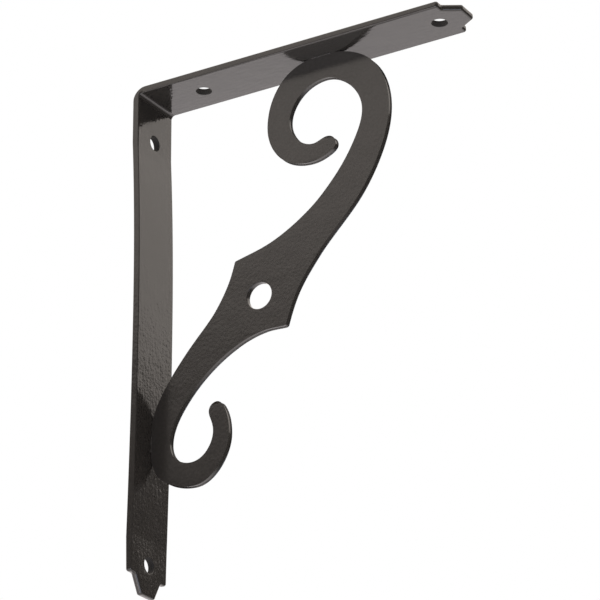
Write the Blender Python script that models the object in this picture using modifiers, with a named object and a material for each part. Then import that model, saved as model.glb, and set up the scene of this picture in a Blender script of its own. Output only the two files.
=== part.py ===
"""Scroll shelf bracket.

A flat steel bar is bent to a right angle, with one arm screwed to the wall and the
other under the shelf.  A flat scroll, cut from thinner plate, stands on edge between
the two arms and is welded where its curls touch them.

Frame: +X points out of the wall, Y runs across the bar and +Z is up.  The origin is on
the back of the wall arm, on its centreline, in the flat stretch above the upper screw hole.

Outlines are drawn in the plane of the scroll, as (x, z) in millimetres from the outer
corner, where the back of the wall arm would meet the top of the shelf arm.
"""

from math import ceil, cos, hypot, pi, radians, sin

import bmesh
import bpy

MM = 0.001

# Bar: stock, bend and arms
BAR_WIDTH = 25.4
BAR_THICKNESS = 2.9
BEND_OUTER_RADIUS = 6.0
BEND_INNER_RADIUS = 1.8
WALL_ARM_LENGTH = 222.3
SHELF_ARM_LENGTH = 154.2
CORNER_ABOVE_ORIGIN = 12.0

# Both arms end in a small square step and a taper to a flat tip
WALL_TIP_LENGTH = 7.8
SHELF_TIP_LENGTH = 7.2
STEP_HALF_WIDTH = 8.9
TIP_HALF_WIDTH = 4.6

# Screw holes, measured along each arm from the outer corner
SCREW_HOLE_DIAMETER = 6.6
WALL_ARM_HOLES = (21.2, 209.0)
SHELF_ARM_HOLES = (27.5, 141.2)

# The wall arm bows away from the wall between two flat stretches
BOW_START = 25.0
BOW_PEAK = 95.0
BOW_END = 200.0
BOW_HEIGHT = 1.62
BOW_START_ANGLE = 2.9
BOW_END_ANGLE = 1.5
BOW_STEPS = 8

# Scroll
SCROLL_THICKNESS = 2.5
SCROLL_HOLE_CENTRE = (55.6, -103.9)
SCROLL_HOLE_DIAMETER = 11.5
WALL_CONTACT_HEIGHT = -158.0

# Making
WELD_GAP = 0.3
EDGE_ROUND = 0.4
EDGE_SEGMENTS = 2
TURN_PER_STEP = 8.0
LONGEST_STEP = 6.0
HOLE_SIDES = 32
BEND_STEPS = 8
CUT_MARGIN = 4.0
CUTTER_DEPTH = 12.0
SHARP_ANGLE = 35.0
WELD_DISTANCE = 0.01

COAT_COLOUR = (0.022, 0.020, 0.019, 1.0)
COAT_ROUGHNESS = 0.3


def run_points(start, end, steps=None):
    """Points along the smooth edge between two (x, z, heading) stations, last one left out.

    The edge leaves and arrives along the two headings, in degrees from +X towards +Z,
    and is close to an arc where they turn evenly.
    """
    x0, z0, heading0 = start
    x1, z1, heading1 = end
    chord = hypot(x1 - x0, z1 - z0)
    turn = (heading1 - heading0 + 180.0) % 360.0 - 180.0
    if steps is None:
        steps = max(2, ceil(abs(turn) / TURN_PER_STEP), ceil(chord / LONGEST_STEP))
    reach = chord / (3.0 * cos(radians(turn) / 4.0) ** 2)
    a, b = radians(heading0), radians(heading1)
    bx, bz = x0 + reach * cos(a), z0 + reach * sin(a)
    cx, cz = x1 - reach * cos(b), z1 - reach * sin(b)
    points = []
    for i in range(steps):
        t = i / steps
        s = 1.0 - t
        w0, w1, w2, w3 = s ** 3, 3.0 * s * s * t, 3.0 * s * t * t, t ** 3
        points.append((w0 * x0 + w1 * bx + w2 * cx + w3 * x1, w0 * z0 + w1 * bz + w2 * cz + w3 * z1))
    return points


def closed_outline(stations):
    """Closed outline through all stations."""
    points = []
    for i, station in enumerate(stations):
        points += run_points(station, stations[(i + 1) % len(stations)])
    return points


def arc_points(centre, radius, start_angle, end_angle, steps):
    """Points of a circular arc, both ends included."""
    points = []
    for i in range(steps + 1):
        angle = radians(start_angle + (end_angle - start_angle) * i / steps)
        points.append((centre[0] + radius * cos(angle), centre[1] + radius * sin(angle)))
    return points


def bow_points(offset):
    """Face of the wall arm going down through its bow, offset from the wall plane."""
    start = (offset, -BOW_START, BOW_START_ANGLE - 90.0)
    peak = (offset + BOW_HEIGHT, -BOW_PEAK, -90.0)
    end = (offset, -BOW_END, -90.0 - BOW_END_ANGLE)
    return run_points(start, peak, BOW_STEPS) + run_points(peak, end, BOW_STEPS) + [end[:2]]


def arm_front(height):
    """How far the front of the wall arm stands from the wall at a height."""
    points = bow_points(BAR_THICKNESS)
    for (x0, z0), (x1, z1) in zip(points, points[1:]):
        if z1 <= height <= z0:
            return x0 + (x1 - x0) * (z0 - height) / (z0 - z1)
    return BAR_THICKNESS


def bar_profile():
    """Side view of the bent bar."""
    back = bow_points(0.0)[::-1]
    front = bow_points(BAR_THICKNESS)
    outer = BEND_OUTER_RADIUS
    inner_centre = BAR_THICKNESS + BEND_INNER_RADIUS
    bend_outside = arc_points((outer, -outer), outer, 180.0, 90.0, BEND_STEPS)
    bend_inside = arc_points((inner_centre, -inner_centre), BEND_INNER_RADIUS, 90.0, 180.0, BEND_STEPS)
    shelf_tip = [(SHELF_ARM_LENGTH, 0.0), (SHELF_ARM_LENGTH, -BAR_THICKNESS)]
    wall_tip = [(BAR_THICKNESS, -WALL_ARM_LENGTH), (0.0, -WALL_ARM_LENGTH)]
    return back + bend_outside + shelf_tip + bend_inside + front + wall_tip


def scroll_stations():
    """Stations round the scroll: x, z and the heading of the edge there."""
    upper_edge = [(44.6, -86.5, 14), (62.0, -81.8, 22), (79.8, -71.6, 36.5), (91.6, -60.2, 49),
                  (101.2, -46.0, 63)]
    upper_eye = [(105.4, -32.5, 90), (101.0, -21.2, 130), (87.4, -13.3, 180), (75.6, -17.9, 223),
                 (70.1, -29.6, 270), (73.9, -38.6, 311), (81.8, -42.6, 0)]
    upper_curl_end = [(88.3, -40.9, 0), (92.0, -44.4, 270), (88.0, -48.2, 204)]
    upper_curl_outside = [(80.6, -49.9, 180), (65.7, -43.9, 132), (60.2, -29.6, 90), (67.5, -9.8, 47)]
    shelf_contact = [(86.0, -BAR_THICKNESS - WELD_GAP, 0)]
    right_edge = [(109.9, -12.0, -48), (117.2, -33.0, -90), (110.8, -56.9, -116), (104.4, -67.8, -124.5),
                  (82.7, -91.9, -128.4), (73.2, -105.5, -118), (68.0, -118.9, -107)]
    lower_edge = [(67.2, -119.4, 180), (58.5, -119.3, 186), (45.5, -122.8, 204), (19.7, -143.1, 232.6)]
    lower_eye = [(12.7, -159.5, 270), (15.4, -166.7, 315), (23.2, -169.9, 0), (31.2, -165.9, 52),
                 (34.1, -158.0, 90), (33.1, -153.2, 110)]
    lower_curl_end = [(32.0, -149.4, 90), (35.3, -146.1, 0), (38.2, -148.2, -60)]
    lower_curl_outside = [(40.9, -159.8, -90), (36.9, -171.8, -124), (24.6, -179.4, 180), (9.9, -174.6, 144)]
    wall_contact = [(arm_front(WALL_CONTACT_HEIGHT) + WELD_GAP, WALL_CONTACT_HEIGHT, 90)]
    left_edge = [(7.6, -140.6, 61), (26.8, -115.6, 46), (35.0, -106.4, 54.6), (41.4, -95.3, 65.6),
                 (44.1, -87.6, 72)]
    upper = upper_edge + upper_eye + upper_curl_end + upper_curl_outside + shelf_contact
    lower = lower_edge + lower_eye + lower_curl_end + lower_curl_outside + wall_contact
    return upper + right_edge + lower + left_edge


def clear_scene():
    """Remove whatever the open file holds."""
    for thing in list(bpy.data.objects):
        bpy.data.objects.remove(thing, do_unlink=True)
    for group in list(bpy.data.collections):
        bpy.data.collections.remove(group)


def new_collection(name):
    """Collection linked to the scene."""
    group = bpy.data.collections.new(name)
    bpy.context.scene.collection.children.link(group)
    return group


def coat_material(name):
    """Near-black powder coat."""
    material = bpy.data.materials.new(name)
    material.use_nodes = True
    shader = material.node_tree.nodes["Principled BSDF"]
    shader.inputs["Base Color"].default_value = COAT_COLOUR
    shader.inputs["Roughness"].default_value = COAT_ROUGHNESS
    shader.inputs["Metallic"].default_value = 0.0
    material.diffuse_color = COAT_COLOUR
    return material


def add_empty(name, group, parent=None, location=(0.0, 0.0, 0.0), rotation=(0.0, 0.0, 0.0)):
    """Empty that carries other objects, placed in millimetres."""
    empty = bpy.data.objects.new(name, None)
    empty.parent = parent
    empty.location = [value * MM for value in location]
    empty.rotation_euler = rotation
    group.objects.link(empty)
    return empty


def add_plate(name, loops, thickness, group, parent, upright=False):
    """Plate cut along closed loops, centred on its own plane.

    The first loop is the outline and the others are holes.  An upright plate stands in XZ.
    """
    curve = bpy.data.curves.new(name, "CURVE")
    curve.dimensions = "2D"
    curve.fill_mode = "BOTH"
    curve.extrude = thickness * MM / 2.0
    for loop in loops:
        spline = curve.splines.new("POLY")
        spline.points.add(len(loop) - 1)
        for point, (x, y) in zip(spline.points, loop):
            point.co = (x * MM, y * MM, 0.0, 1.0)
        spline.use_cyclic_u = True
    drawing = bpy.data.objects.new(name + "_drawing", curve)
    group.objects.link(drawing)
    drawing.parent = parent
    if upright:
        drawing.rotation_euler = (pi / 2.0, 0.0, 0.0)
    bpy.context.view_layer.update()
    mesh = bpy.data.meshes.new_from_object(drawing.evaluated_get(bpy.context.evaluated_depsgraph_get()))
    mesh.name = name
    body = bmesh.new()
    body.from_mesh(mesh)
    bmesh.ops.remove_doubles(body, verts=body.verts, dist=WELD_DISTANCE * MM)
    bmesh.ops.recalc_face_normals(body, faces=body.faces)
    body.to_mesh(mesh)
    body.free()
    plate = bpy.data.objects.new(name, mesh)
    group.objects.link(plate)
    plate.matrix_world = drawing.matrix_world
    bpy.data.objects.remove(drawing, do_unlink=True)
    bpy.data.curves.remove(curve)
    return plate


def hide_cutter(cutter):
    """Show a cutter as wire only."""
    cutter.hide_render = True
    cutter.display_type = "WIRE"


def add_arm_cutters(arm, length, tip_length, holes, frame, group):
    """Cutters of one arm, in its own frame: X along the arm from the corner, Y across it."""
    shoulder = length - tip_length
    beyond = length + CUT_MARGIN
    outside = BAR_WIDTH / 2.0 + CUT_MARGIN
    for side, sign in (("near", -1.0), ("far", 1.0)):
        corners = [(shoulder, outside), (shoulder, STEP_HALF_WIDTH), (length, TIP_HALF_WIDTH),
                   (beyond, TIP_HALF_WIDTH), (beyond, outside)]
        loop = [(x, y * sign) for x, y in corners]
        hide_cutter(add_plate(f"{arm}_{side}_notch", [loop], CUTTER_DEPTH, group, frame))
    for number, distance in enumerate(holes, start=1):
        bpy.ops.mesh.primitive_cylinder_add(vertices=HOLE_SIDES, radius=SCREW_HOLE_DIAMETER * MM / 2.0,
                                            depth=CUTTER_DEPTH * MM)
        drill = bpy.context.object
        drill.name = f"{arm}_drill_{number}"
        for holder in list(drill.users_collection):
            holder.objects.unlink(drill)
        group.objects.link(drill)
        drill.parent = frame
        drill.location = (distance * MM, 0.0, 0.0)
        hide_cutter(drill)


def finish_piece(piece, material):
    """Round the edges, shade smooth and give the piece its coat."""
    bevel = piece.modifiers.new("soft edges", "BEVEL")
    bevel.width = EDGE_ROUND * MM
    bevel.segments = EDGE_SEGMENTS
    bevel.limit_method = "ANGLE"
    bevel.angle_limit = radians(SHARP_ANGLE)
    piece.data.shade_smooth()
    piece.data.set_sharp_from_angle(angle=radians(SHARP_ANGLE))
    piece.data.materials.clear()
    piece.data.materials.append(material)


def build_angle_bar(corner, parts, cutters):
    """The bent bar: its side view, cut by the end notches and the screw holes."""
    mid = BAR_THICKNESS / 2.0
    wall_frame = add_empty("wall_arm_frame", parts, corner, (mid, 0.0, 0.0), (0.0, pi / 2.0, 0.0))
    shelf_frame = add_empty("shelf_arm_frame", parts, corner, (0.0, 0.0, -mid))
    add_arm_cutters("wall_arm", WALL_ARM_LENGTH, WALL_TIP_LENGTH, WALL_ARM_HOLES, wall_frame, cutters)
    add_arm_cutters("shelf_arm", SHELF_ARM_LENGTH, SHELF_TIP_LENGTH, SHELF_ARM_HOLES, shelf_frame, cutters)
    bar = add_plate("angle_bar", [bar_profile()], BAR_WIDTH, parts, corner, upright=True)
    cut = bar.modifiers.new("notches and holes", "BOOLEAN")
    cut.operation = "DIFFERENCE"
    cut.operand_type = "COLLECTION"
    cut.collection = cutters
    cut.solver = "EXACT"
    finish_piece(bar, coat_material("bar_powder_coat"))


def build_scroll_brace(corner, parts):
    """The scroll plate with its round centre hole."""
    hole = arc_points(SCROLL_HOLE_CENTRE, SCROLL_HOLE_DIAMETER / 2.0, 0.0, 360.0, HOLE_SIDES)[:-1]
    loops = [closed_outline(scroll_stations()), hole]
    scroll = add_plate("scroll_brace", loops, SCROLL_THICKNESS, parts, corner, upright=True)
    finish_piece(scroll, coat_material("scroll_powder_coat"))


def main():
    """Build the bracket."""
    clear_scene()
    parts = new_collection("shelf_bracket")
    cutters = new_collection("cutters")
    corner = add_empty("outer_corner", parts, location=(0.0, 0.0, CORNER_ABOVE_ORIGIN))
    build_angle_bar(corner, parts, cutters)
    build_scroll_brace(corner, parts)


main()
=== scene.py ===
"""Looks of a scroll shelf bracket in black powder coat.

The bracket hangs as it would on a wall.  +X points out of the wall, Y runs across the bar
and +Z is up.  The origin is on the back of the wall arm, and the outer corner of the bar is
a little above it.
"""

from math import ceil, cos, hypot, radians, sin

import bmesh
import bpy
from bpy.props import FloatProperty, FloatVectorProperty, IntProperty, PointerProperty, StringProperty
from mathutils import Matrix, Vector
from mathutils.geometry import tessellate_polygon


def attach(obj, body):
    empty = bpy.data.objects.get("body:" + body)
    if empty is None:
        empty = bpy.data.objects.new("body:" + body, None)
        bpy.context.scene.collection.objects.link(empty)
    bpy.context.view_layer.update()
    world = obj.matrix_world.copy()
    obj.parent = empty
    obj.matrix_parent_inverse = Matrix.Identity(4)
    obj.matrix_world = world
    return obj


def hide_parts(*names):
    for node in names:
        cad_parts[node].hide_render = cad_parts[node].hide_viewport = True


bl_info = {
    "name": "Scroll shelf bracket",
    "version": (1, 0, 0),
    "blender": (4, 5, 0),
    "location": "3D View > Sidebar > Bracket",
    "description": "Builds a powder-coated scroll shelf bracket and a plain stage for it",
    "category": "Add Mesh",
}

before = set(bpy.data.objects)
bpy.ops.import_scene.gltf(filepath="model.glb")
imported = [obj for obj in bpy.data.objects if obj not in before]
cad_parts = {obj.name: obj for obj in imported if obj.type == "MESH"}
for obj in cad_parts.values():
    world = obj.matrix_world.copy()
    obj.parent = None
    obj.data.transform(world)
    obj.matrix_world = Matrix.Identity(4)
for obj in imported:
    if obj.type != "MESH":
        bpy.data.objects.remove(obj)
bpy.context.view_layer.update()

MM = 0.001
BODY = "root"

# The screw holes, along each arm from the outer corner, and the height of that corner
WALL_ARM_HOLES = (21.2 * MM, 209.0 * MM)
SHELF_ARM_HOLES = (27.5 * MM, 141.2 * MM)
CORNER_HEIGHT = 12.0 * MM

# Where the wall arm bows away from the wall: height, distance from the wall, heading in degrees
BOW_TOP = (-25.0 * MM, 0.0, 2.9)
BOW_MIDDLE = (-95.0 * MM, 1.62 * MM, 0.0)
BOW_FOOT = (-200.0 * MM, 0.0, -1.5)

# Where the scroll touches the two arms
WALL_CONTACT_HEIGHT = -158.0 * MM
SHELF_CONTACT_REACH = 86.0 * MM
CONTACT_OVERLAP = 0.05 * MM

# Weld beads: how far they run to each side of a contact, the width and detail of their lumps, the
# noise where they are slightest and fullest, their size there as a share of the bead's radius, and
# how slight the bead on the wall arm is beside the other
SHELF_WELD_REACH = 4.5 * MM
WALL_WELD_REACH = 3.0 * MM
WELD_LUMP = 0.8 * MM
WELD_DETAIL = 2.0
WELD_NOISE_RANGE = (0.35, 0.65)
WELD_SWELL = (0.3, 1.2)
WALL_WELD_SHARE = 0.6

# Length over which the edge that the punch dragged round at a tip turns into the rolled edge
PUNCH_FADE = 4.0 * MM

# Fineness of the meshes, turns in degrees
BOW_STEP = 3.0 * MM
SCROLL_STEP = 1.2 * MM
TURN_STEP = 3.0
LEAD_STEPS = 5
BEND_STEPS = 24
CORNER_STEPS = 6
EDGE_STEPS = 4
HOLE_SIDES = 72
WELD_STEP = 0.12 * MM
WELD_SIDES = 16

# Least cosine by which a mitred corner is stretched, the distance within which points count as
# one place, and how far large faces lead in the shading, where 50 is neutral
MITRE_LIMIT = 0.4
SAME_PLACE = 0.001 * MM
FACE_WEIGHT = 100

# Where nearly all values of a noise lie
NOISE_RANGE = (0.3, 0.7)

# Powder coat: its orange peel and rolling lines, how slowly the lines change along the bar, the
# clouds in its gloss, its darkest and lightest tones, and the darker tone that paints shade on
# the walls of the screw holes, all as shares of its colour
PEEL_NOISE = {"Detail": 1.5, "Roughness": 0.45}
STREAK_NOISE = {"Detail": 2.0, "Roughness": 0.5}
STREAK_SLOWNESS = 0.22
CLOUD_SIZE = 9.0 * MM
CLOUD_DETAIL = 3.0
CLOUD_SPREAD = 0.02
DARK_TONE = 0.8
LIGHT_TONE = 1.2
# Darker tone of the painted shade in the walls of the screw holes
HOLE_SHADE_TONE = 0.4
COAT_IOR = 1.5

# Paper of the floor
FIBRE_SIZE = 2.0 * MM
FIBRE_DETAIL = 2.0
FIBRE_TONE = 0.97
PAPER_ROUGHNESS = 0.9

# What the coat reflects: dim light all round, and panels of light, each laid over those before it.
# A panel has its direction as azimuth and elevation, the angles from that direction at which it
# starts and is full, all in degrees, its strength and its colour.
STUDIO_DIM = 0.1
STUDIO_PANELS = (
    ((255.0, -60.0), 78.46, 53.13, 1.57, "day_glow"),
    ((336.0, -28.0), 12.04, 8.11, 3.8, "day_glow"),
    ((230.5, 76.0), 69.6, 68.3, 1.44, "lamp_glow"),
    ((327.0, 46.0), 24.01, 22.19, 1.42, "lamp_glow"),
)

# The cloth in front of the panels hangs in upright folds: how narrow they are, and how much
# lighter and darker they make the light
FOLD_FINENESS = 14.0
FOLD_DETAIL = 2.0
FOLD_SHADE = 0.12

# Middle of the round window, which shines on the origin, and the camera's sensor width in
# millimetres and nearest sight
WINDOW_PLACE = (0.444, -1.221, -0.75)
CAMERA_SENSOR = 36.0
CAMERA_NEAR = 50.0 * MM


def to_linear(code):
    """Linear colour of an sRGB hex code such as 1c1b1a."""
    channels = [int(code[i:i + 2], 16) / 255.0 for i in (0, 2, 4)]
    linear = [c / 12.92 if c <= 0.04045 else ((c + 0.055) / 1.055) ** 2.4 for c in channels]
    return (*linear, 1.0)


def scaled(colour, share):
    """Colour with its light scaled by a share, still opaque."""
    return (*(c * share for c in colour[:3]), 1.0)


def empty_tree(owner):
    """Node tree of a material or a world, with nothing in it."""
    owner.use_nodes = True
    owner.node_tree.nodes.clear()
    return owner.node_tree


def add_node(tree, kind, settings=None, inputs=None):
    """Add a node with its settings, and set or link its inputs by name or number.

    A number stands where inputs share a name, as they do on a mix node: it takes its share at 0
    and mixes numbers 2 and 3 into output 0, or colours 6 and 7 into output 2.
    """
    node = tree.nodes.new(kind)
    for key, value in (settings or {}).items():
        setattr(node, key, value)
    for key, value in (inputs or {}).items():
        if isinstance(value, bpy.types.NodeSocket):
            tree.links.new(value, node.inputs[key])
        else:
            node.inputs[key].default_value = value
    return node


class BarSizes(bpy.types.PropertyGroup):
    """Sizes of the bent flat bar."""

    width: FloatProperty(name="Width", description="Width of the flat bar",
                         default=25.4 * MM, unit="LENGTH")
    thickness: FloatProperty(name="Thickness", description="Thickness of the flat bar",
                             default=2.9 * MM, unit="LENGTH")
    wall_arm: FloatProperty(name="Wall arm", description="Length of the wall arm from the outer corner",
                            default=222.3 * MM, unit="LENGTH")
    shelf_arm: FloatProperty(name="Shelf arm", description="Length of the shelf arm from the outer corner",
                             default=154.2 * MM, unit="LENGTH")
    bend_outside: FloatProperty(name="Bend outside", description="Radius outside the bend",
                                default=6.0 * MM, unit="LENGTH")
    bend_inside: FloatProperty(name="Bend inside", description="Radius inside the bend",
                               default=1.8 * MM, unit="LENGTH")
    wall_tip: FloatProperty(name="Wall arm tip", description="Length of the tapered tip of the wall arm",
                            default=7.8 * MM, unit="LENGTH")
    shelf_tip: FloatProperty(name="Shelf arm tip", description="Length of the tapered tip of the shelf arm",
                             default=7.2 * MM, unit="LENGTH")
    step_half_width: FloatProperty(name="Step", description="Half width of a tip where it starts",
                                   default=8.9 * MM, unit="LENGTH")
    tip_half_width: FloatProperty(name="Tip", description="Half width of a tip at its end",
                                  default=4.6 * MM, unit="LENGTH")
    corner_round: FloatProperty(name="Corner rounding", description="Radius of the punched corners",
                                default=1.1 * MM, unit="LENGTH")
    hole: FloatProperty(name="Screw hole", description="Diameter of the screw holes",
                        default=6.6 * MM, unit="LENGTH")
    hole_round: FloatProperty(name="Hole edge", description="Radius of the edges of the screw holes",
                              default=0.3 * MM, unit="LENGTH")
    edge_round: FloatProperty(name="Edge rounding", description="Radius of the rolled long edges",
                              default=0.3 * MM, unit="LENGTH")
    punched_round: FloatProperty(name="Punched edge", description="Radius of the punched edges",
                                 default=1.0 * MM, unit="LENGTH")


class ScrollSizes(bpy.types.PropertyGroup):
    """Sizes of the scroll plate."""

    thickness: FloatProperty(name="Thickness", description="Thickness of the scroll plate",
                             default=2.5 * MM, unit="LENGTH")
    hole: FloatProperty(name="Centre hole", description="Diameter of the hole in the middle",
                        default=11.5 * MM, unit="LENGTH")
    hole_reach: FloatProperty(name="Hole reach", description="Centre of the hole from the wall",
                              default=55.6 * MM, unit="LENGTH")
    hole_drop: FloatProperty(name="Hole drop", description="Centre of the hole below the shelf",
                             default=103.9 * MM, unit="LENGTH")
    edge_round: FloatProperty(name="Edge rounding", description="Radius of the cut edges",
                              default=0.4 * MM, unit="LENGTH")
    weld_radius: FloatProperty(name="Weld bead", description="Radius of the bead round each contact",
                               default=0.4 * MM, unit="LENGTH")
    seed: IntProperty(name="Seed", description="Fixes the unevenness of the weld beads", default=4)


class CoatLook(bpy.types.PropertyGroup):
    """Look of the powder coat."""

    colour: StringProperty(name="Colour", description="Colour of the coat, sRGB hex code",
                           default="302d2a")
    bar_roughness: FloatProperty(name="Bar roughness", description="Roughness of the coat on the bar",
                                 default=0.12, min=0.0, max=1.0)
    plate_roughness: FloatProperty(name="Plate roughness", description="Roughness of the coat on the scroll",
                                   default=0.18, min=0.0, max=1.0)
    peel_size: FloatProperty(name="Orange peel size", description="Width of one dimple of the orange peel",
                             default=1.4 * MM, unit="LENGTH")
    torn_roughness: FloatProperty(name="Torn roughness", description="Roughness inside the punched holes",
                                  default=0.8, min=0.0, max=1.0)
    bar_peel: FloatProperty(name="Bar peel", description="Depth of the orange peel on the bar",
                            default=0.048 * MM, unit="LENGTH")
    plate_peel: FloatProperty(name="Plate peel", description="Depth of the orange peel on the scroll",
                              default=0.032 * MM, unit="LENGTH")
    edge_peel: FloatProperty(name="Edge peel", description="Share of the orange peel on narrow edges",
                             default=0.5, min=0.0, max=1.0)
    streak_share: FloatProperty(name="Streaks", description="Depth of the rolling lines beside the peel",
                                default=1.4, min=0.0)
    wave_size: FloatProperty(name="Wave size", description="Width of the slow unevenness of the coat",
                             default=7.0 * MM, unit="LENGTH")
    wave_depth: FloatProperty(name="Wave depth", description="Depth of the slow unevenness of the coat",
                              default=0.03 * MM, unit="LENGTH")


class StageLook(bpy.types.PropertyGroup):
    """Camera, floor and studio light."""

    camera_place: FloatVectorProperty(name="Camera", description="Place of the camera",
                                      default=(0.6554, -0.9651, -0.5841), subtype="XYZ", unit="LENGTH")
    camera_turn: FloatVectorProperty(name="Camera turn", description="Turn of the camera",
                                     default=(radians(113.350), radians(0.3816), radians(31.223)),
                                     subtype="EULER")
    lens: FloatProperty(name="Lens", description="Focal length in millimetres", default=183.25)
    floor_depth: FloatProperty(name="Floor depth", description="How far the floor is below the origin",
                               default=0.9, unit="LENGTH")
    floor_size: FloatProperty(name="Floor size", description="Half width of the floor",
                              default=4.0, unit="LENGTH")
    paper: StringProperty(name="Paper", description="Colour of the floor, sRGB hex code",
                          default="e6edf6")
    lamp_glow: StringProperty(name="Lamp glow", description="Colour of the upper panels, sRGB hex code",
                              default="fff6ee")
    day_glow: StringProperty(name="Day glow", description="Colour of the lower panels, sRGB hex code",
                             default="fff8f8")
    window_glow: StringProperty(name="Window glow", description="Colour of the window, sRGB hex code",
                                default="dfe8ff")
    window_size: FloatProperty(name="Window size", description="Width of the round window",
                               default=1.1, unit="LENGTH")
    window_power: FloatProperty(name="Window power", description="Power of the window in watts",
                                default=8.4)


def run_points(start, end, longest):
    """Points along the smooth edge between two (x, z, heading) stations, last one left out.

    The edge leaves and arrives along the two headings, in degrees from +X towards +Z,
    and is close to an arc where they turn evenly.
    """
    x0, z0, heading0 = start
    x1, z1, heading1 = end
    chord = hypot(x1 - x0, z1 - z0)
    turn = (heading1 - heading0 + 180.0) % 360.0 - 180.0
    steps = max(2, ceil(abs(turn) / TURN_STEP), ceil(chord / longest))
    reach = chord / (3.0 * cos(radians(turn) / 4.0) ** 2)
    a, b = radians(heading0), radians(heading1)
    bx, bz = x0 + reach * cos(a), z0 + reach * sin(a)
    cx, cz = x1 - reach * cos(b), z1 - reach * sin(b)
    points = []
    for i in range(steps):
        t = i / steps
        s = 1.0 - t
        w0, w1, w2, w3 = s ** 3, 3.0 * s * s * t, 3.0 * s * t * t, t ** 3
        x = w0 * x0 + w1 * bx + w2 * cx + w3 * x1
        z = w0 * z0 + w1 * bz + w2 * cz + w3 * z1
        points.append(Vector((x, z)))
    return points


def arc_points(centre, radius, start_angle, end_angle, steps):
    """Points of a circular arc, both ends included."""
    points = []
    for i in range(steps + 1):
        angle = radians(start_angle + (end_angle - start_angle) * i / steps)
        points.append(Vector((centre[0] + radius * cos(angle), centre[1] + radius * sin(angle))))
    return points


def hole_ring(centre, diameter):
    """Points round a hole, clockwise, with the plate on their left."""
    return arc_points(centre, diameter / 2.0, 360.0, 0.0, HOLE_SIDES)[:-1]


def rounded_corners(corners, radius):
    """Polyline through corners, each one but the first and last rounded to a radius."""
    points = [Vector(corners[0])]
    for before, here, after in zip(corners, corners[1:], corners[2:]):
        here = Vector(here)
        back = (Vector(before) - here).normalized()
        on = (Vector(after) - here).normalized()
        half = back.angle(on) / 2.0
        cut = radius * cos(half) / sin(half)
        centre = here + (back + on).normalized() * radius / sin(half)
        first = here + back * cut - centre
        last = here + on * cut - centre
        for i in range(CORNER_STEPS + 1):
            points.append(centre + first.lerp(last, i / CORNER_STEPS).normalized() * radius)
    points.append(Vector(corners[-1]))
    return points


def inset(loop, distances):
    """Loop moved to its left by a distance at each point, with mitred corners."""
    moved = []
    for i, here in enumerate(loop):
        before = (here - loop[i - 1]).normalized()
        after = (loop[(i + 1) % len(loop)] - here).normalized()
        left = Vector((-before.y - after.y, before.x + after.x)).normalized()
        stretch = max(MITRE_LIMIT, left.dot(Vector((-after.y, after.x))))
        moved.append(here + left * distances[i] / stretch)
    return moved


def rounded_plate(loops, rounds, thickness, panels, torn_and_shaded):
    """Flat plate in XY with rounded edges, centred on its own plane.

    Each loop keeps the plate on its left.  rounds holds the edge radius at each of its points.
    panels gives the faces of the flat sides, as lists of rings of (loop, point) numbers.
    torn_and_shaded tells for each loop how ripped its cut is, from 0 to 1.  The coat in its walls
    is that much rougher, and that much darker with painted shade.  The attributes torn_and_shaded
    and broad carry that and the flat sides to the coat.
    """
    plate = bmesh.new()
    torn_and_shaded_layer = plate.verts.layers.float.new("torn_and_shaded")
    broad = plate.verts.layers.float.new("broad")
    angles = [radians(90.0 * k / EDGE_STEPS) for k in range(EDGE_STEPS + 1)]
    rows = [(sin(a), cos(a), 1.0) for a in angles]
    rows += [(across, up, -1.0) for across, up, side in reversed(rows)]
    grids = []
    for loop, radii, share in zip(loops, rounds, torn_and_shaded):
        grid = []
        for across, up, side in rows:
            ring = inset(loop, [r * (1.0 - across) for r in radii])
            grid.append([plate.verts.new((p.x, p.y, side * (thickness / 2.0 - r * (1.0 - up))))
                         for p, r in zip(ring, radii)])
            for vertex in grid[-1]:
                # Most in the walls of a cut: a rougher coat there, and painted shade in the screw holes
                vertex[torn_and_shaded_layer] = share * across ** 2
                vertex[broad] = float(across == 0.0)
        for upper, lower in zip(grid, grid[1:]):
            for i in range(len(loop)):
                plate.faces.new((upper[i - 1], lower[i - 1], lower[i], upper[i]))
        grids.append(grid)
    for rings in panels:
        names = [name for ring in rings for name in ring]
        flat = [[grids[a][0][b].co for a, b in ring] for ring in rings]
        for triangle in tessellate_polygon(flat):
            corners = [names[i] for i in triangle]
            plate.faces.new([grids[a][0][b] for a, b in corners])
            plate.faces.new([grids[a][-1][b] for a, b in reversed(corners)])
    bmesh.ops.recalc_face_normals(plate, faces=plate.faces)
    return plate


def finish_mesh(piece, material, node):
    """Shade a piece, give it its coat, and let it stand for its CAD node where it has one."""
    piece.data.shade_smooth()
    even = piece.modifiers.new("even shading", "WEIGHTED_NORMAL")
    even.weight = FACE_WEIGHT
    piece.data.materials.clear()
    piece.data.materials.append(material)
    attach(piece, BODY)
    if node:
        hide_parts(node)


def new_piece(name, mesh):
    """Object of a mesh, linked to the scene."""
    piece = bpy.data.objects.new(name, mesh)
    bpy.context.scene.collection.objects.link(piece)
    return piece


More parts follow.
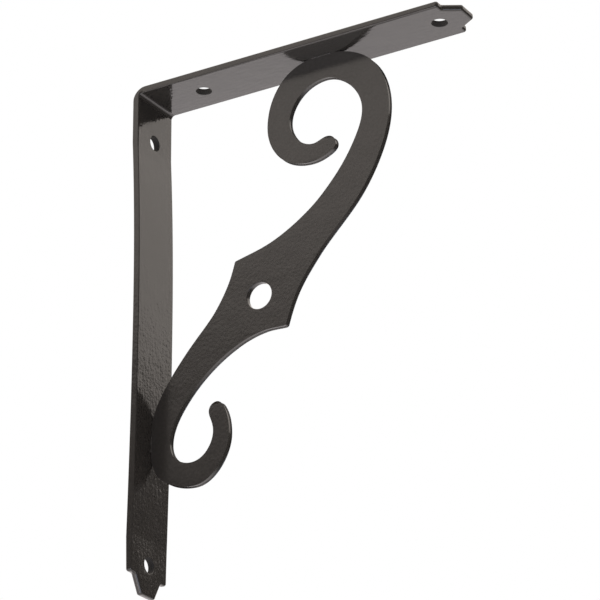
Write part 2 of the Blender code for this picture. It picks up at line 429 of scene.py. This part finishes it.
def powder_coat(name, roughness, peel_depth, streaked):
    """Powder-coated steel, baked from sprayed powder.

    To the eye it is a near-black plastic skin with a clear satin reflection, broken by the
    fine dimples of orange peel.  On the bar the rolling lines of the steel show through.
    Inside the punched screw holes, where little powder reaches the ripped steel, it is dull, and a
    darker tone there is painted shade in the walls of the holes.
    """
    look = bpy.context.scene.bracket_coat
    material = bpy.data.materials.new(name)
    tree = empty_tree(material)
    place = add_node(tree, "ShaderNodeTexCoord")
    peel = add_node(tree, "ShaderNodeTexNoise", {}, {
        "Vector": place.outputs["Object"], "Scale": 1.0 / look.peel_size, **PEEL_NOISE})
    wave = add_node(tree, "ShaderNodeTexNoise", {}, {
        "Vector": place.outputs["Object"], "Scale": 1.0 / look.wave_size, "Detail": 0.0})
    height = add_node(tree, "ShaderNodeMath", {"operation": "MULTIPLY_ADD"}, {
        0: wave.outputs["Fac"], 1: look.wave_depth / peel_depth,
        2: peel.outputs["Fac"]}).outputs["Value"]
    if streaked:
        along = add_node(tree, "ShaderNodeMapping", {}, {
            "Vector": place.outputs["UV"], "Scale": (STREAK_SLOWNESS, 1.0, 1.0)})
        streak = add_node(tree, "ShaderNodeTexNoise", {}, {
            "Vector": along.outputs["Vector"], "Scale": 1.0 / look.peel_size, **STREAK_NOISE})
        height = add_node(tree, "ShaderNodeMath", {"operation": "MULTIPLY_ADD"}, {
            0: streak.outputs["Fac"], 1: look.streak_share, 2: height}).outputs["Value"]
    broad = add_node(tree, "ShaderNodeAttribute", {"attribute_name": "broad"})
    strength = add_node(tree, "ShaderNodeMapRange", {}, {
        "Value": broad.outputs["Fac"], "To Min": look.edge_peel, "To Max": 1.0})
    bump = add_node(tree, "ShaderNodeBump", {}, {
        "Strength": strength.outputs["Result"], "Distance": peel_depth, "Height": height})
    cloud = add_node(tree, "ShaderNodeTexNoise", {}, {
        "Vector": place.outputs["Object"], "Scale": 1.0 / CLOUD_SIZE, "Detail": CLOUD_DETAIL})
    rough = add_node(tree, "ShaderNodeMapRange", {}, {
        "Value": cloud.outputs["Fac"], "From Min": NOISE_RANGE[0], "From Max": NOISE_RANGE[1],
        "To Min": roughness - CLOUD_SPREAD, "To Max": roughness + CLOUD_SPREAD})
    torn_and_shaded = add_node(tree, "ShaderNodeAttribute", {"attribute_name": "torn_and_shaded"})
    dull = add_node(tree, "ShaderNodeMix", {"data_type": "FLOAT"}, {
        0: torn_and_shaded.outputs["Fac"], 2: rough.outputs["Result"], 3: look.torn_roughness})
    black = to_linear(look.colour)
    tone = add_node(tree, "ShaderNodeMix", {"data_type": "RGBA"}, {
        0: peel.outputs["Fac"], 6: scaled(black, DARK_TONE), 7: scaled(black, LIGHT_TONE)})
    # Painted shade: a darker tone in the walls of the screw holes
    hole_shaded_tone = add_node(tree, "ShaderNodeMix", {"data_type": "RGBA"}, {
        0: torn_and_shaded.outputs["Fac"], 6: tone.outputs[2], 7: scaled(black, HOLE_SHADE_TONE)})
    shader = add_node(tree, "ShaderNodeBsdfPrincipled", {}, {
        "Base Color": hole_shaded_tone.outputs[2], "Roughness": dull.outputs[0],
        "Metallic": 0.0, "IOR": COAT_IOR, "Normal": bump.outputs["Normal"]})
    add_node(tree, "ShaderNodeOutputMaterial", {}, {"Surface": shader.outputs["BSDF"]})
    return material


def bow_line(offset):
    """Face of the wall arm going down through its bow, offset from the wall plane."""
    top, middle, foot = [(offset + out, height, heading - 90.0)
                         for height, out, heading in (BOW_TOP, BOW_MIDDLE, BOW_FOOT)]
    points = run_points(top, middle, BOW_STEP) + run_points(middle, foot, BOW_STEP)
    return points + [Vector(foot[:2])]


def side_line(bar):
    """Middle line of the bar seen from the side, from the wall arm's tip to the shelf arm's.

    Returns its points and the thickness of the bar at each of them.
    """
    half = bar.thickness / 2.0
    line = [Vector((half, -bar.wall_arm))]
    line += reversed(bow_line(half))
    thick = [bar.thickness] * len(line)
    inner = bar.thickness + bar.bend_inside
    lead = bar.bend_outside - inner
    # Rays cross the bar at the bend: from the centre of the inner arc, and before and after it
    # from the short leads along which only the outer face is round
    drops = [inner + lead * (1.0 - i / LEAD_STEPS) for i in range(LEAD_STEPS)]
    rays = [(Vector((inner, -drop)), Vector((-1.0, 0.0))) for drop in drops]
    headings = arc_points((0.0, 0.0), 1.0, 180.0, 90.0, BEND_STEPS)
    rays += [(Vector((inner, -inner)), heading) for heading in headings]
    rays += [(Vector((drop, -inner)), Vector((0.0, 1.0))) for drop in reversed(drops)]
    for start, heading in rays:
        from_rim = start - Vector((bar.bend_outside, -bar.bend_outside))
        middle = from_rim.dot(heading)
        outside = (middle ** 2 + bar.bend_outside ** 2 - from_rim.length_squared) ** 0.5 - middle
        line.append(start + heading * (outside + bar.bend_inside) / 2.0)
        thick.append(outside - bar.bend_inside)
    line.append(Vector((bar.shelf_arm, -half)))
    thick.append(bar.thickness)
    return line, thick


def running_lengths(line):
    """Length along a line at each of its points."""
    lengths = [0.0]
    for a, b in zip(line, line[1:]):
        lengths.append(lengths[-1] + (b - a).length)
    return lengths


def end_corners(end, inwards, tip, bar):
    """Corners of one end of the blank, from its near long edge round to its far one."""
    shoulder = end + inwards * tip
    half = bar.width / 2.0
    near = [(shoulder, -half), (shoulder, -bar.step_half_width), (end, -bar.tip_half_width)]
    far = [(x, -y) for x, y in reversed(near)]
    return near + far


def bar_blank(bar, line):
    """The bar before it is bent: punched, flat, X along it and Y across it.

    Returns its loops, their edge radii and the panels of its flat sides.
    """
    lengths = running_lengths(line)
    total = lengths[-1]
    half = bar.width / 2.0
    stations = lengths[1:-1]
    start = rounded_corners([(stations[0], half)] + end_corners(0.0, 1.0, bar.wall_tip, bar)[::-1]
                            + [(stations[0], -half)], bar.corner_round)
    finish = rounded_corners([(stations[-1], -half)] + end_corners(total, -1.0, bar.shelf_tip, bar)
                             + [(stations[-1], half)], bar.corner_round)
    near = [Vector((s, -half)) for s in stations[1:-1]]
    far = [Vector((s, half)) for s in reversed(stations[1:-1])]
    outline = start + near + finish + far
    radii = []
    for point in outline:
        into_arm = min(point.x - bar.wall_tip, total - bar.shelf_tip - point.x)
        share = min(1.0, max(0.0, into_arm / PUNCH_FADE))
        radii.append(bar.punched_round + (bar.edge_round - bar.punched_round) * share)
    loops = [outline]
    rounds = [radii]
    # The lower hole is counted from the tip and the others from the bend, so the bow moves none
    bend_start = lengths[-2 - BEND_STEPS - 2 * LEAD_STEPS]
    bend_end = lengths[-2]
    upper_hole, lower_hole = WALL_ARM_HOLES
    punched = [bend_start + bar.bend_outside - upper_hole, bar.wall_arm - lower_hole]
    punched += [bend_end - bar.bend_outside + hole for hole in SHELF_ARM_HOLES]
    for place in punched:
        loops.append(hole_ring((place, 0.0), bar.hole))
        rounds.append([bar.hole_round] * HOLE_SIDES)
    reach = bar.hole / 2.0 + 2.0 * bar.hole_round
    cuts = [0.0] + [s for s in stations if all(abs(s - place) > reach for place in punched)] + [total]
    panels = []
    for low, high in zip(cuts, cuts[1:]):
        ring = [(0, i) for i, p in enumerate(outline) if low - SAME_PLACE <= p.x <= high + SAME_PLACE]
        holes = [[(k, i) for i in range(HOLE_SIDES)] for k, place in enumerate(punched, start=1)
                 if low < place < high]
        panels.append([ring] + holes)
    return loops, rounds, panels


def plate_mesh(name, plate):
    """Mesh of a flat plate, with a UV map that gives the place on the flat plate in metres."""
    layer = plate.loops.layers.uv.new("flat")
    for face in plate.faces:
        for loop in face.loops:
            loop[layer].uv = loop.vert.co.xy
    mesh = bpy.data.meshes.new(name)
    plate.to_mesh(mesh)
    plate.free()
    return mesh


def line_object(name, points, radii=None, cyclic=False):
    """Curve object through points, with a radius at each of them."""
    curve = bpy.data.curves.new(name, "CURVE")
    curve.dimensions = "3D"
    spline = curve.splines.new("POLY")
    spline.points.add(len(points) - 1)
    for i, (x, y, z) in enumerate(points):
        spline.points[i].co = (x, y, z, 1.0)
        spline.points[i].radius = radii[i] if radii else 1.0
    spline.use_cyclic_u = cyclic
    return new_piece(name, curve)


def new_tree(name, inputs, output):
    """Geometry-nodes tree with its inputs, a finish and one output, and its input node."""
    tree = bpy.data.node_groups.new(name, "GeometryNodeTree")
    for label, kind in {**inputs, "Finish": "NodeSocketMaterial"}.items():
        tree.interface.new_socket(label, in_out="INPUT", socket_type=kind)
    tree.interface.new_socket(output, in_out="OUTPUT", socket_type="NodeSocketGeometry")
    return tree, add_node(tree, "NodeGroupInput")


def end_tree(tree, given, shape, output):
    """End a tree by making its shape real and giving it the finish."""
    real = add_node(tree, "GeometryNodeRealizeInstances", {}, {"Geometry": shape})
    coated = add_node(tree, "GeometryNodeSetMaterial", {}, {
        "Geometry": real.outputs["Geometry"], "Material": given.outputs["Finish"]})
    add_node(tree, "NodeGroupOutput", {}, {output: coated.outputs["Geometry"]})
    return tree


def bending_tree():
    """Geometry nodes that lay a flat blank along a side line in XZ.

    X of the blank runs along the line, Y stays and Z is thickness.  The radius of the line
    scales the thickness, because a bar gets thinner where it is bent.
    """
    tree, given = new_tree("bend_along_side_line", {
        "Blank": "NodeSocketGeometry", "Side line": "NodeSocketObject"}, "Bar")
    line = add_node(tree, "GeometryNodeObjectInfo", {"transform_space": "RELATIVE"}, {
        "Object": given.outputs["Side line"]})
    place = add_node(tree, "ShaderNodeSeparateXYZ", {}, {
        0: add_node(tree, "GeometryNodeInputPosition").outputs["Position"]})
    sample = add_node(tree, "GeometryNodeSampleCurve", {"mode": "LENGTH", "use_all_curves": True}, {
        "Curves": line.outputs["Geometry"], "Length": place.outputs["X"],
        "Value": add_node(tree, "GeometryNodeInputRadius").outputs["Radius"]})
    inwards = add_node(tree, "ShaderNodeVectorMath", {"operation": "CROSS_PRODUCT"}, {
        0: sample.outputs["Tangent"], 1: (0.0, 1.0, 0.0)})
    depth = add_node(tree, "ShaderNodeMath", {"operation": "MULTIPLY"}, {
        0: place.outputs["Z"], 1: sample.outputs["Value"]})
    out = add_node(tree, "ShaderNodeVectorMath", {"operation": "SCALE"}, {
        0: inwards.outputs["Vector"], "Scale": depth.outputs["Value"]})
    across = add_node(tree, "ShaderNodeCombineXYZ", {}, {"Y": place.outputs["Y"]})
    offset = add_node(tree, "ShaderNodeVectorMath", {"operation": "ADD"}, {
        0: out.outputs["Vector"], 1: across.outputs["Vector"]})
    moved = add_node(tree, "ShaderNodeVectorMath", {"operation": "ADD"}, {
        0: offset.outputs["Vector"], 1: sample.outputs["Position"]})
    laid = add_node(tree, "GeometryNodeSetPosition", {}, {
        "Geometry": given.outputs["Blank"], "Position": moved.outputs["Vector"]})
    return end_tree(tree, given, laid.outputs["Geometry"], "Bar")


def weld_tree():
    """Geometry nodes that lay an uneven bead of weld under the coat along a line."""
    tree, given = new_tree("weld_bead_along_line", {
        "Line": "NodeSocketGeometry", "Bead radius": "NodeSocketFloat", "Seed": "NodeSocketInt"}, "Bead")
    even = add_node(tree, "GeometryNodeResampleCurve", {"mode": "LENGTH"}, {
        "Curve": given.outputs["Line"], "Length": WELD_STEP})
    waves = add_node(tree, "ShaderNodeTexNoise", {"noise_dimensions": "4D"}, {
        "Vector": add_node(tree, "GeometryNodeInputPosition").outputs["Position"],
        "W": given.outputs["Seed"], "Scale": 1.0 / WELD_LUMP, "Detail": WELD_DETAIL})
    swell = add_node(tree, "ShaderNodeMapRange", {}, {
        "Value": waves.outputs["Fac"], "From Min": WELD_NOISE_RANGE[0], "From Max": WELD_NOISE_RANGE[1],
        "To Min": WELD_SWELL[0], "To Max": WELD_SWELL[1]})
    size = add_node(tree, "ShaderNodeMath", {"operation": "MULTIPLY"}, {
        0: swell.outputs["Result"], 1: given.outputs["Bead radius"]})
    ring = add_node(tree, "GeometryNodeCurvePrimitiveCircle", {}, {"Resolution": WELD_SIDES, "Radius": 1.0})
    bead = add_node(tree, "GeometryNodeCurveToMesh", {}, {
        "Curve": even.outputs["Curve"], "Profile Curve": ring.outputs["Curve"],
        "Scale": size.outputs["Value"]})
    smooth = add_node(tree, "GeometryNodeSetShadeSmooth", {}, {"Geometry": bead.outputs["Mesh"]})
    return end_tree(tree, given, smooth.outputs["Geometry"], "Bead")


def run_tree(carrier, tree, values):
    """Plain mesh that a geometry-nodes tree makes from an object, with its inputs by name."""
    maker = carrier.modifiers.new(tree.name, "NODES")
    maker.node_group = tree
    for item in tree.interface.items_tree:
        if item.in_out == "INPUT" and item.name in values:
            maker[item.identifier] = values[item.name]
    ready = carrier.evaluated_get(bpy.context.evaluated_depsgraph_get())
    mesh = bpy.data.meshes.new_from_object(ready)
    carrier.modifiers.remove(maker)
    if not mesh.polygons:
        raise RuntimeError(f"{tree.name} made no faces")
    return mesh


def raise_to_corner(mesh):
    """Move a mesh drawn from the outer corner to where the corner is."""
    for vertex in mesh.vertices:
        vertex.co.z += CORNER_HEIGHT


def arm_front(bar, height):
    """How far the front of the wall arm stands from the wall at a height."""
    points = bow_line(bar.thickness)
    for a, b in zip(points, points[1:]):
        if b.y <= height <= a.y:
            return a.x + (b.x - a.x) * (a.y - height) / (a.y - b.y)
    return bar.thickness


def scroll_stations(bar):
    """Stations round the scroll: x, z and the heading of the edge there, lengths in metres."""
    upper_edge = [(44.6, -86.5, 14), (62.0, -81.8, 22), (79.8, -71.6, 36.5), (91.6, -60.2, 49),
                  (101.2, -46.0, 63)]
    upper_eye = [(105.4, -32.5, 90), (101.0, -21.2, 130), (87.4, -13.3, 180), (75.6, -17.9, 223),
                 (70.1, -29.6, 270), (73.9, -38.6, 311), (81.8, -42.6, 0)]
    upper_curl_end = [(88.3, -40.9, 0), (92.0, -44.4, 270), (88.0, -48.2, 204)]
    upper_curl_outside = [(80.6, -49.9, 180), (65.7, -43.9, 132), (60.2, -29.6, 90), (67.5, -9.8, 47)]
    shelf_contact = [(SHELF_CONTACT_REACH / MM, (CONTACT_OVERLAP - bar.thickness) / MM, 0)]
    right_edge = [(109.9, -12.0, -48), (117.2, -33.0, -90), (110.8, -56.9, -116), (104.4, -67.8, -124.5),
                  (82.7, -91.9, -128.4), (73.2, -105.5, -118), (68.0, -118.9, -107)]
    lower_edge = [(67.2, -119.4, 180), (58.5, -119.3, 186), (45.5, -122.8, 204), (19.7, -143.1, 232.6)]
    lower_eye = [(12.7, -159.5, 270), (15.4, -166.7, 315), (23.2, -169.9, 0), (31.2, -165.9, 52),
                 (34.1, -158.0, 90), (33.1, -153.2, 110)]
    lower_curl_end = [(32.0, -149.4, 90), (35.3, -146.1, 0), (38.2, -148.2, -60)]
    lower_curl_outside = [(40.9, -159.8, -90), (36.9, -171.8, -124), (24.6, -179.4, 180),
                          (9.9, -174.6, 144)]
    touch = (arm_front(bar, WALL_CONTACT_HEIGHT) - CONTACT_OVERLAP) / MM
    wall_contact = [(touch, WALL_CONTACT_HEIGHT / MM, 90)]
    left_edge = [(7.6, -140.6, 61), (26.8, -115.6, 46), (35.0, -106.4, 54.6), (41.4, -95.3, 65.6),
                 (44.1, -87.6, 72)]
    upper = upper_edge + upper_eye + upper_curl_end + upper_curl_outside + shelf_contact
    lower = lower_edge + lower_eye + lower_curl_end + lower_curl_outside + wall_contact
    return [(x * MM, z * MM, heading) for x, z, heading in upper + right_edge + lower + left_edge]


class BRACKET_OT_angle_bar(bpy.types.Operator):
    """Punch the flat bar and bend it to a right angle"""

    bl_idname = "bracket.angle_bar"
    bl_label = "Bent bar"

    def execute(self, context):
        bar = context.scene.bracket_bar
        line, thick = side_line(bar)
        loops, rounds, panels = bar_blank(bar, line)
        # Only the screw holes are ripped, with a rougher coat and painted shade in their walls
        torn_and_shaded = [0.0] + [1.0] * (len(loops) - 1)
        plate = rounded_plate(loops, rounds, bar.thickness, panels, torn_and_shaded)
        blank = new_piece("bar_blank", plate_mesh("bar_blank", plate))
        places = [(p.x, 0.0, p.y) for p in line]
        route = line_object("side_line", places, [t / bar.thickness for t in thick])
        look = context.scene.bracket_coat
        coat = powder_coat("powder_coated_flat_bar", look.bar_roughness, look.bar_peel, True)
        mesh = run_tree(blank, bending_tree(), {"Side line": route, "Finish": coat})
        bpy.data.objects.remove(blank)
        bpy.data.objects.remove(route)
        raise_to_corner(mesh)
        finish_mesh(new_piece("coated_angle_bar", mesh), coat, "angle_bar")
        return {"FINISHED"}


class BRACKET_OT_scroll(bpy.types.Operator):
    """Cut the scroll and stand it between the arms"""

    bl_idname = "bracket.scroll"
    bl_label = "Scroll"

    def execute(self, context):
        bar = context.scene.bracket_bar
        scroll = context.scene.bracket_scroll
        stations = scroll_stations(bar)
        outline = []
        for i, station in enumerate(stations):
            outline += run_points(station, stations[(i + 1) % len(stations)], SCROLL_STEP)
        loops = [outline, hole_ring((scroll.hole_reach, -scroll.hole_drop), scroll.hole)]
        rounds = [[scroll.edge_round] * len(loop) for loop in loops]
        panels = [[[(k, i) for i in range(len(loop))] for k, loop in enumerate(loops)]]
        plate = rounded_plate(loops, rounds, scroll.thickness, panels, [0.0, 0.0])
        mesh = plate_mesh("coated_scroll", plate)
        # A quarter turn about X stands the plate up
        for vertex in mesh.vertices:
            x, y, z = vertex.co
            vertex.co = (x, -z, y)
        raise_to_corner(mesh)
        look = context.scene.bracket_coat
        coat = powder_coat("powder_coated_plate", look.plate_roughness, look.plate_peel, False)
        finish_mesh(new_piece("coated_scroll", mesh), coat, "scroll_brace")
        return {"FINISHED"}


class BRACKET_OT_welds(bpy.types.Operator):
    """Run a weld bead round each place where the scroll touches an arm"""

    bl_idname = "bracket.welds"
    bl_label = "Welds"

    def execute(self, context):
        bar = context.scene.bracket_bar
        scroll = context.scene.bracket_scroll
        look = context.scene.bracket_coat
        coat = powder_coat("powder_coated_weld", look.plate_roughness, look.bar_peel, False)
        tree = weld_tree()
        side = scroll.thickness / 2.0
        track = [(u, side) for u in (-1.0, -0.5, 0.0, 0.5, 1.0)]
        track += [(-u, -v) for u, v in track]
        shelf = [(SHELF_CONTACT_REACH + u * SHELF_WELD_REACH, v, -bar.thickness) for u, v in track]
        heights = [WALL_CONTACT_HEIGHT + u * WALL_WELD_REACH for u, v in track]
        wall = [(arm_front(bar, height), v, height) for height, (u, v) in zip(heights, track)]
        for name, path, share in (("weld_under_shelf_arm", shelf, 1.0),
                                  ("weld_on_wall_arm", wall, WALL_WELD_SHARE)):
            route = line_object(name + "_line", path, cyclic=True)
            mesh = run_tree(route, tree, {"Bead radius": scroll.weld_radius * share,
                                          "Seed": scroll.seed, "Finish": coat})
            bpy.data.objects.remove(route)
            raise_to_corner(mesh)
            finish_mesh(new_piece(name, mesh), coat, None)
        return {"FINISHED"}


def studio_world(stage):
    """World that lights the bracket: white behind it, and soft panels for it to reflect."""
    world = bpy.data.worlds.new("soft_studio")
    bpy.context.scene.world = world
    tree = empty_tree(world)
    towards = add_node(tree, "ShaderNodeTexCoord").outputs["Generated"]
    light = scaled(to_linear(stage.lamp_glow), STUDIO_DIM)
    for (azimuth, elevation), starts, full, strength, tint in STUDIO_PANELS:
        a, e = radians(azimuth), radians(elevation)
        facing = add_node(tree, "ShaderNodeVectorMath", {"operation": "DOT_PRODUCT"}, {
            0: towards, 1: (sin(a) * cos(e), -cos(a) * cos(e), sin(e))})
        share = add_node(tree, "ShaderNodeMapRange", {"interpolation_type": "SMOOTHSTEP"}, {
            "Value": facing.outputs["Value"],
            "From Min": cos(radians(starts)), "From Max": cos(radians(full))})
        light = add_node(tree, "ShaderNodeMix", {"data_type": "RGBA"}, {
            0: share.outputs["Result"], 6: light,
            7: scaled(to_linear(getattr(stage, tint)), strength)}).outputs[2]
    upright = add_node(tree, "ShaderNodeMapping", {}, {"Vector": towards, "Scale": (1.0, 1.0, 0.0)})
    folds = add_node(tree, "ShaderNodeTexNoise", {}, {
        "Vector": upright.outputs["Vector"], "Scale": FOLD_FINENESS, "Detail": FOLD_DETAIL})
    shade = add_node(tree, "ShaderNodeMapRange", {}, {
        "Value": folds.outputs["Fac"], "From Min": NOISE_RANGE[0], "From Max": NOISE_RANGE[1],
        "To Min": 1.0 - FOLD_SHADE, "To Max": 1.0 + FOLD_SHADE})
    soft = add_node(tree, "ShaderNodeBackground", {}, {
        "Color": light, "Strength": shade.outputs["Result"]})
    white = add_node(tree, "ShaderNodeBackground", {}, {
        "Color": (1.0, 1.0, 1.0, 1.0), "Strength": 1.0})
    path = add_node(tree, "ShaderNodeLightPath")
    shown = add_node(tree, "ShaderNodeMixShader", {}, {
        0: path.outputs["Is Camera Ray"], 1: soft.outputs["Background"], 2: white.outputs["Background"]})
    add_node(tree, "ShaderNodeOutputWorld", {}, {"Surface": shown.outputs["Shader"]})


def paper_material(stage):
    """Seamless paper: matt and pale, with a faint fibre that keeps it from looking painted."""
    material = bpy.data.materials.new("seamless_paper")
    tree = empty_tree(material)
    place = add_node(tree, "ShaderNodeTexCoord")
    fibre = add_node(tree, "ShaderNodeTexNoise", {}, {
        "Vector": place.outputs["Object"], "Scale": 1.0 / FIBRE_SIZE, "Detail": FIBRE_DETAIL})
    pale = to_linear(stage.paper)
    tone = add_node(tree, "ShaderNodeMix", {"data_type": "RGBA"}, {
        0: fibre.outputs["Fac"], 6: scaled(pale, FIBRE_TONE), 7: pale})
    shader = add_node(tree, "ShaderNodeBsdfPrincipled", {}, {
        "Base Color": tone.outputs[2], "Roughness": PAPER_ROUGHNESS})
    add_node(tree, "ShaderNodeOutputMaterial", {}, {"Surface": shader.outputs["BSDF"]})
    return material


class BRACKET_OT_stage(bpy.types.Operator):
    """Lay the floor, light the studio and set the camera"""

    bl_idname = "bracket.stage"
    bl_label = "Stage"

    def execute(self, context):
        stage = context.scene.bracket_stage
        reach = stage.floor_size
        mesh = bpy.data.meshes.new("paper_floor")
        corners = [(-reach, -reach), (reach, -reach), (reach, reach), (-reach, reach)]
        mesh.from_pydata([(x, y, -stage.floor_depth) for x, y in corners], [], [(0, 1, 2, 3)])
        mesh.materials.append(paper_material(stage))
        floor = new_piece("paper_floor", mesh)
        floor.visible_glossy = False
        studio_world(stage)
        light = bpy.data.lights.new("window", "AREA")
        light.shape = "DISK"
        light.size = stage.window_size
        light.energy = stage.window_power
        light.color = to_linear(stage.window_glow)[:3]
        window = new_piece("window", light)
        window.location = WINDOW_PLACE
        window.rotation_euler = (-Vector(WINDOW_PLACE)).to_track_quat("-Z", "Y").to_euler()
        camera = new_piece("photo_camera", bpy.data.cameras.new("photo_camera"))
        camera.data.sensor_width = CAMERA_SENSOR
        camera.data.lens = stage.lens
        camera.data.clip_start = CAMERA_NEAR
        camera.location = stage.camera_place
        camera.rotation_euler = stage.camera_turn
        context.scene.camera = camera
        context.scene.view_settings.view_transform = "Standard"
        return {"FINISHED"}


class BRACKET_PT_panel(bpy.types.Panel):
    """Bracket sizes and the steps that build it"""

    bl_idname = "BRACKET_PT_panel"
    bl_label = "Scroll shelf bracket"
    bl_space_type = "VIEW_3D"
    bl_region_type = "UI"
    bl_category = "Bracket"

    def draw(self, context):
        for name, kind in GROUPS.items():
            box = self.layout.box()
            for setting in kind.__annotations__:
                box.prop(getattr(context.scene, name), setting)
        for step in STEPS:
            self.layout.operator(step.bl_idname)


GROUPS = {"bracket_bar": BarSizes, "bracket_scroll": ScrollSizes, "bracket_coat": CoatLook,
          "bracket_stage": StageLook}
STEPS = (BRACKET_OT_angle_bar, BRACKET_OT_scroll, BRACKET_OT_welds, BRACKET_OT_stage)


def register():
    """Register the classes and hang the settings on the scene."""
    for kind in (*GROUPS.values(), *STEPS, BRACKET_PT_panel):
        bpy.utils.register_class(kind)
    for name, kind in GROUPS.items():
        setattr(bpy.types.Scene, name, PointerProperty(type=kind))


def unregister():
    """Undo register."""
    for name in GROUPS:
        delattr(bpy.types.Scene, name)
    for kind in reversed((*GROUPS.values(), *STEPS, BRACKET_PT_panel)):
        bpy.utils.unregister_class(kind)


def main():
    """Build the bracket and its stage."""
    register()
    bpy.ops.bracket.angle_bar()
    bpy.ops.bracket.scroll()
    bpy.ops.bracket.welds()
    bpy.ops.bracket.stage()


if __name__ == "__main__":
    main()
